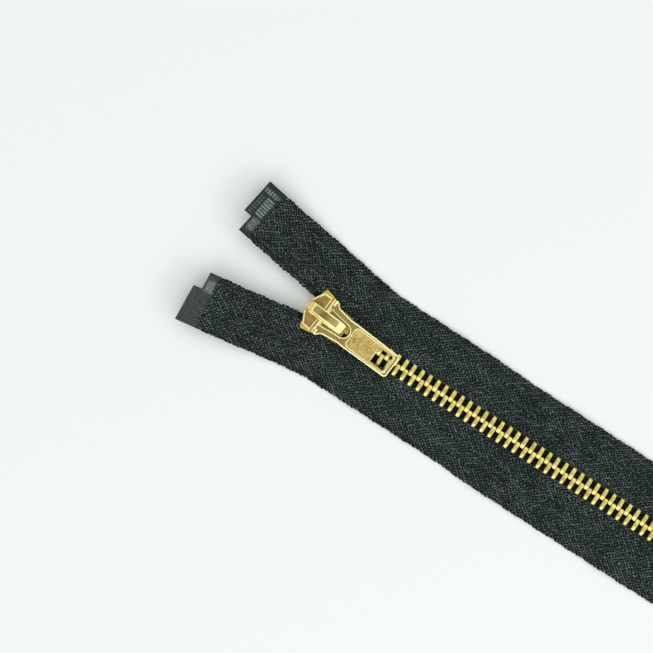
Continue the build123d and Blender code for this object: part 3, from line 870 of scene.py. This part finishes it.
def tape_lines(path, s_low, s_high):
    """The stations along and across a length of tape, with exact ones at the notches' edges."""
    count = int(round((s_high - s_low) / S_STEP))
    stations = set(np.linspace(s_low, s_high, count + 1).round(5))
    for cut in (NOTCH_DEPTH, path.length - NOTCH_DEPTH):
        if s_low < cut < s_high:
            stations = {s for s in stations if abs(s - cut) > S_STEP / 3} | {cut}
    bead_line = BEAD_R * (1.0 - np.cos(np.linspace(0.0, np.pi, BEAD_STEPS + 1)))
    flat_line = np.arange(2 * BEAD_R + T_STEP * 0.8, TAPE_WIDTH - 0.35, T_STEP)
    rim_line = TAPE_WIDTH - np.array([0.22, 0.1, 0.03, 0.0])
    t_line = np.concatenate([bead_line, flat_line, rim_line])
    t_line[int(np.argmin(np.abs(t_line - NOTCH_WIDTH)))] = NOTCH_WIDTH
    return np.array(sorted(stations)), t_line


def shell_faces(keep):
    """Quads of a closed shell over a grid of points and its underside; `keep` marks the grid's cells."""
    rows, columns = keep.shape[0] + 1, keep.shape[1] + 1
    grid = np.arange(rows * columns).reshape(rows, columns)
    offset = grid.size
    a, b, c, d = grid[:-1, :-1], grid[1:, :-1], grid[1:, 1:], grid[:-1, 1:]
    quads = [np.stack([a[keep], b[keep], c[keep], d[keep]], axis=1)]
    quads.append(np.stack([a[keep], d[keep], c[keep], b[keep]], axis=1) + offset)
    padded = np.pad(keep, 1)
    inside = padded[1:-1, 1:-1]
    walls = [
        (inside & ~padded[:-2, 1:-1], a, d),
        (inside & ~padded[2:, 1:-1], c, b),
        (inside & ~padded[1:-1, :-2], b, a),
        (inside & ~padded[1:-1, 2:], d, c),
    ]
    for mask, start, end in walls:
        quads.append(np.stack([start[mask], end[mask], end[mask] + offset, start[mask] + offset], axis=1))
    return np.concatenate(quads)


def tape_place(path, s, t, loose):
    """Plan position of a tape's points, with a looped outer edge and an uneven free inner edge."""
    loops = np.sqrt(np.abs(np.sin(2 * np.pi * s / FLOAT_PITCH))) - 0.7
    scallop = 0.20 * loops + 0.07 * wander(s * 2.3, t * 0.0, 2.0)
    outer = smooth((t - TAPE_WIDTH + 0.8) / 0.8) * loose
    inner = smooth((0.5 - t) / 0.5) * smooth((s - TAPE_END_X - 3.0) / 4.0) * loose
    return path.at(s, t + scallop * (outer - 1.2 * inner))


def half_thickness(t, sealed):
    """Half of a tape's thickness: a round bead, a thin tape and a rounded edge, flatter where melted."""
    bead = np.sqrt(np.clip(BEAD_R**2 - (t - BEAD_R) ** 2, 0.0, None))
    thin = TAPE_HALF - 0.06 * sealed
    beyond_bead = np.maximum(bead * (1.0 - 0.5 * sealed), thin)
    half = np.where(t < BEAD_R, bead * (1.0 - 0.45 * sealed), beyond_bead)
    return half * np.sqrt(np.clip((TAPE_WIDTH - t) / 0.25, 0.06, 1.0))


def tape_mesh(name, side, top, bottom, keep, uv, attributes):
    """A mesh from a tape's grids of upper and lower points, UVs and named values."""
    faces = shell_faces(keep)
    if side == RIGHT:
        faces = faces[:, ::-1]
    points = np.concatenate([top.reshape(-1, 3), bottom.reshape(-1, 3)]) * MM
    used, faces = np.unique(faces, return_inverse=True)
    mesh = bpy.data.meshes.new(name)
    mesh.from_pydata(points[used].tolist(), [], faces.reshape(-1, 4).tolist())
    vertex_uv = np.concatenate([uv.reshape(-1, 2)] * 2)[used] / UV_SCALE
    corners = np.zeros(len(mesh.loops), np.int32)
    layer = mesh.uv_layers.new(name="tape")
    mesh.loops.foreach_get("vertex_index", corners)
    layer.data.foreach_set("uv", vertex_uv[corners].astype(np.float32).ravel())
    for key, values in attributes.items():
        store(mesh, key, np.concatenate([values.ravel()] * 2)[used])
    mesh.shade_smooth()
    mesh.set_sharp_from_angle(angle=math.radians(70.0))
    mesh.validate()
    return mesh


def tape_piece(side, s_low, s_high, name):
    """One length of one tape with its bead: a closed shell with a woven relief on both faces."""
    path = TapePath(side)
    s_line, t_line = tape_lines(path, max(s_low, 0.0), min(s_high, path.length))
    s, t = np.meshgrid(s_line, t_line, indexing="ij")
    from_end = np.minimum(s, path.length - s)
    ragged = 0.16 * wander(s * 0.0, t * 1.7, 5.0) + 0.12 * wander(s * 3.1, t * 3.7, 2.0)
    sealed = 1.0 - smooth((from_end - SEAL_LENGTH + 0.3 + ragged) / 0.8)
    loose = 1.0 - sealed
    thread_s = s + 0.07 * wander(s, t, 1.0 + side)
    thread_t = t + 0.035 * wander(s, t, 3.0 - side) * within(t, 2 * BEAD_R, TAPE_WIDTH, 0.6)
    x, y = tape_place(path, s, t, loose)
    middle = path.height(s, t, x)
    half = half_thickness(t, sealed)
    on_tape = smooth((t - 2 * BEAD_R) / 0.3)
    past_chain = smooth((s - TAPE_END_X + LEAF_X + 1.0) / 1.5)
    rope = (0.5 + 0.5 * np.sin(2 * np.pi * (s / 0.9 + t / 1.6))) * np.sin(np.pi * np.clip(t / 1.5, 0, 1))
    woven = weave(thread_s, thread_t) * on_tape + rope * (1.0 - on_tape)
    top_end = (s > path.length - 2 * SEAL_LENGTH).astype(float)
    press = pressed(side, from_end, t) * sealed * top_end + 0.3 * sealed * (1.0 - top_end)
    relief = RELIEF * woven * (loose + 0.12 * sealed) + 0.16 * (press - 0.4) * sealed
    cell_s = (s[:-1, :-1] + s[1:, 1:]) / 2
    cell_t = (t[:-1, :-1] + t[1:, 1:]) / 2
    notched = (cell_s < NOTCH_DEPTH) | (cell_s > path.length - NOTCH_DEPTH)
    keep = ~(notched & (cell_t < NOTCH_WIDTH))
    top = np.stack([x, y, middle + half + relief], axis=-1)
    bottom = np.stack([x, y, middle - half - relief * 0.8], axis=-1)
    uv = np.stack([thread_s, thread_t], axis=-1)
    # 'open' is 0 on the bead within the chain, where the fabric paints shade between the elements.
    attributes = {"seal": sealed, "open": np.maximum(on_tape, past_chain), "press": press}
    return new_object(name, tape_mesh(name, side, top, bottom, keep, uv, attributes))


FLOAT_SHARPNESS = 1.25
# Grey of the yarn by how high a float's crown stands: the pale crowns are painted highlights and the
# near-black gaps are painted shade.
YARN_WITH_PAINTED_GLINTS = [
    (0.0, (0.0005, 0.0026, 0.0022)),
    (0.25, (0.004, 0.009, 0.008)),
    (0.60, (0.066, 0.086, 0.083)),
    (1.0, (0.18, 0.21, 0.205)),
]
YARN_ROUGHNESS = 0.58
FILM_SHINE = 3.2  # how much paler the film's crests are than its colour: a painted highlight on the ridges
FABRIC_BUMP = 0.00006


def half_sine(graph, value):
    """A bump that rises from 0 to 1 and falls again while the value runs from 0 to 1."""
    return graph.math("SINE", graph.math("MULTIPLY", value, math.pi))


def twill(graph, s, t):
    """How brightly the warp and weft floats shine, and a random number for each warp float.

    Warp floats cover the first half of each float pitch, weft floats the second.
    """
    picks = graph.math("DIVIDE", s, FLOAT_PITCH)
    thread = graph.math("DIVIDE", t, WARP_PITCH)
    column = graph.math("FLOOR", thread)
    turn = graph.math("PINGPONG", graph.math("ADD", column, 0.5), COLUMNS_PER_STRIPE)
    lane = graph.math("MULTIPLY_ADD", turn, -0.25, picks)
    up = graph.math("MINIMUM", graph.math("MULTIPLY", graph.math("FRACT", lane), 2.0), 1.0)
    ridge = graph.math("POWER", half_sine(graph, graph.math("FRACT", thread)), FLOAT_SHARPNESS)
    warp = graph.math("MULTIPLY", half_sine(graph, up), ridge)
    slope = graph.math("PINGPONG", thread, COLUMNS_PER_STRIPE)
    drift = graph.math("MULTIPLY_ADD", slope, -0.25, picks)
    down = graph.math("MAXIMUM", graph.math("MULTIPLY_ADD", graph.math("FRACT", drift), 2.0, -1.0), 0.0)
    pick = graph.math("FRACT", graph.math("DIVIDE", s, FLOAT_PITCH / 4))
    crest = graph.math("POWER", half_sine(graph, pick), FLOAT_SHARPNESS)
    weft = graph.math("MULTIPLY", half_sine(graph, down), crest)
    cell = graph.add("ShaderNodeCombineXYZ", {0: column, 1: graph.math("FLOOR", lane)})
    chance = graph.add("ShaderNodeTexWhiteNoise", {"Vector": cell}, noise_dimensions="2D")
    return graph.math("MAXIMUM", warp, graph.math("MULTIPLY", weft, 0.80)), chance


def fabric(name, film_roughness, film_pit_shade, film_colour):
    """Black twill of polyester yarn, whose floats carry painted highlights over painted shade in the gaps;
    the cut ends are melted film.
    """
    graph = Graph(name)
    place = graph.add("ShaderNodeUVMap", uv_map="tape")
    split = graph.tree.nodes.new("ShaderNodeSeparateXYZ")
    graph.feed(split.inputs[0], place)
    to_millimetres = {0: place, 1: (UV_SCALE, UV_SCALE, UV_SCALE)}
    scaled = graph.add("ShaderNodeVectorMath", to_millimetres, operation="MULTIPLY")
    curl = graph.noise(scaled, scale=1.9, detail=2.0, roughness=0.6)
    sway = graph.noise(scaled, scale=1.1, detail=2.0, roughness=0.6)
    s = graph.math("MULTIPLY_ADD", curl, 0.9, graph.math("MULTIPLY", split.outputs[0], UV_SCALE))
    t = graph.math("MULTIPLY_ADD", sway, 0.5, graph.math("MULTIPLY", split.outputs[1], UV_SCALE))
    floats, chance = twill(graph, s, t)
    mottle = graph.noise(scaled, scale=1.3, detail=2.0, roughness=0.7)
    clouds = graph.noise(scaled, scale=0.16, detail=3.0, roughness=0.5)
    tip = floats
    for factor, spread, least in (
        (chance, 0.45, 0.60),
        (mottle, 0.7, 0.65),
        (clouds, 0.8, 0.6),
        # Painted shade: on the bead within the chain, the floats are darkened to a quarter, as if in the
        # shade between the elements.
        (graph.attribute("open"), 0.75, 0.25),
    ):
        tip = graph.math("MULTIPLY", tip, graph.math("MULTIPLY_ADD", factor, spread, least))
    cloth = graph.ramp(tip, YARN_WITH_PAINTED_GLINTS)
    seal = graph.attribute("seal")
    dust = graph.noise(scaled, scale=4.6, detail=2.0, roughness=0.6)
    speckle = graph.level(dust, [(0.36, 0.0), (0.64, 1.0)])
    pattern = graph.math("MULTIPLY_ADD", speckle, 0.9, 0.45)
    pattern = graph.math("MULTIPLY", graph.attribute("press"), pattern)
    pattern = graph.math("MULTIPLY_ADD", speckle, 0.22, pattern)
    pattern = graph.math("MULTIPLY", pattern, graph.math("MULTIPLY_ADD", mottle, 1.5, 0.25))
    film_crest = tuple(FILM_SHINE * part for part in film_colour)
    # The film's colour follows its pits and crests: painted shade in the pits, painted highlight on the
    # crests.
    film = graph.ramp(pattern, [(0.12, film_pit_shade), (0.45, film_colour), (1.0, film_crest)])
    base = graph.mix(seal, cloth, film)
    rough = graph.math("MULTIPLY_ADD", seal, film_roughness - YARN_ROUGHNESS, YARN_ROUGHNESS)
    loose = graph.math("MULTIPLY_ADD", seal, -0.8, 1.0)
    normal = graph.bump(graph.math("MULTIPLY", floats, loose), 0.7, FABRIC_BUMP)
    graph.shader.inputs["Specular IOR Level"].default_value = 0.08
    return graph.finish(Base_Color=base, Roughness=rough, Normal=normal)


FABRIC = {
    RIGHT: fabric(
        "herringbone_tape_glossy_end", film_roughness=0.30,
        film_pit_shade=(0.014, 0.020, 0.018), film_colour=(0.082, 0.100, 0.094),
    ),
    LEFT: fabric(
        "herringbone_tape_matte_end", film_roughness=0.50,
        film_pit_shade=(0.020, 0.026, 0.023), film_colour=(0.078, 0.092, 0.084),
    ),
}

for side, side_name in SIDE_NAMES.items():
    seam = TAPE_END_X - SEAM_X
    whole_length = TapePath(side).length
    lower = tape_piece(side, 0.0, seam, f"{side_name}_woven_tape_lower")
    upper = tape_piece(side, seam, whole_length, f"{side_name}_woven_tape_upper")
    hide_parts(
        f"{side_name}_tape",
        f"{side_name}_tape_bottom",
        f"{side_name}_bead_cord",
        f"{side_name}_bead_cord_bottom",
    )
    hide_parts(f"{side_name}_tape_top", f"{side_name}_bead_cord_top")
    for piece, length in ((lower, seam), (upper, whole_length - seam)):
        piece.data.materials.append(FABRIC[side])
    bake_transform(lower)
    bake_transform(upper)

# ---- Studio -----------------------------------------------------------------------------------------

ROLL = math.radians(32.9)
VIEW_CENTRE = Vector((1.1, -1.5, 0.0)) * MM
FIELD = 175.07 * MM
CAMERA_HEIGHT = 0.95  # metres, like the lengths below
ACROSS = Vector((math.cos(ROLL), math.sin(ROLL), 0.0))
UPWARDS = Vector((-math.sin(ROLL), math.cos(ROLL), 0.0))
FLOOR_REACH = 3.0
FLOOR_COLOUR = (0.825, 0.848, 0.838)
SKY_TINT = 0.975  # red and blue of the surroundings, as a share of their green
SKY_STRENGTH = 0.83
LIT_SKY = [(0.0, 0.30), (0.4, 0.70), (1.0, 1.45)]  # (height, brightness), from the horizon to overhead
MIRRORED_SKY = [
    (0.0, 0.50), (0.35, 1.10), (0.80, 1.75), (0.90, 1.20), (0.955, 0.55), (0.990, 0.42), (1.0, 0.25),
]
LIGHTS = [  # name, right and up in the picture, height, size, watts
    ("key", 0.95, -0.45, 0.62, 0.34, 1.9),
    ("second_key", 0.60, -0.85, 0.60, 0.34, 1.6),
    ("fill", -0.30, -0.75, 0.7, 0.5, 1.7),
    ("back", -0.15, 0.9, 0.8, 0.6, 0.6),
]


def make_camera():
    data = bpy.data.cameras.new("camera")
    data.sensor_width = 36.0
    data.lens = data.sensor_width * CAMERA_HEIGHT / FIELD
    data.clip_start = 0.05
    data.clip_end = 20.0
    camera = new_object("camera", data)
    camera.location = VIEW_CENTRE + Vector((0.0, 0.0, CAMERA_HEIGHT))
    camera.rotation_euler = (0.0, 0.0, ROLL)
    bpy.context.scene.camera = camera


def make_floor():
    mesh = bpy.data.meshes.new("studio_floor")
    corners = [(-1, -1), (1, -1), (1, 1), (-1, 1)]
    mesh.from_pydata([(x * FLOOR_REACH, y * FLOOR_REACH, 0.0) for x, y in corners], [], [(0, 1, 2, 3)])
    floor = new_object("studio_floor", mesh)
    graph = Graph("studio_floor")
    mesh.materials.append(graph.finish(Base_Color=FLOOR_COLOUR, Roughness=0.8))


def area_light(name, right, up, height, size, power):
    """A soft square light, placed by how far right and up of the picture it stands, aimed at the middle."""
    data = bpy.data.lights.new(name, "AREA")
    data.shape = "SQUARE"
    data.size = size
    data.energy = power
    light = new_object(name, data)
    light.location = VIEW_CENTRE + ACROSS * right + UPWARDS * up + Vector((0.0, 0.0, height))
    light.rotation_euler = (light.location - VIEW_CENTRE).to_track_quat("Z", "Y").to_euler()
    light.visible_camera = False


def sky_ramp(tree, height, stops):
    """The light of the surroundings from the horizon (0) to straight overhead (1), slightly green."""
    tinted = [(position, (value * SKY_TINT, value, value * SKY_TINT)) for position, value in stops]
    return colour_ramp(tree, height, tinted)


def make_world():
    """A bright room, mirrored with a dim zone overhead, so that metal's flats look darker than its bevels."""
    world = bpy.data.worlds.new("studio")
    bpy.context.scene.world = world
    world.use_nodes = True
    tree = world.node_tree
    background = tree.nodes["Background"]
    direction = tree.nodes.new("ShaderNodeTexCoord").outputs["Generated"]
    split = tree.nodes.new("ShaderNodeSeparateXYZ")
    tree.links.new(direction, split.inputs[0])
    lit = sky_ramp(tree, split.outputs[2], LIT_SKY)
    mirrored = sky_ramp(tree, split.outputs[2], MIRRORED_SKY)
    choose = tree.nodes.new("ShaderNodeMix")
    choose.data_type = "RGBA"
    tree.links.new(tree.nodes.new("ShaderNodeLightPath").outputs["Is Glossy Ray"], choose.inputs[0])
    tree.links.new(lit, choose.inputs[6])
    tree.links.new(mirrored, choose.inputs[7])
    tree.links.new(choose.outputs[2], background.inputs["Color"])
    background.inputs["Strength"].default_value = SKY_STRENGTH


make_camera()
make_floor()
make_world()
for light_settings in LIGHTS:
    area_light(*light_settings)
bpy.context.scene.view_settings.view_transform = "Standard"
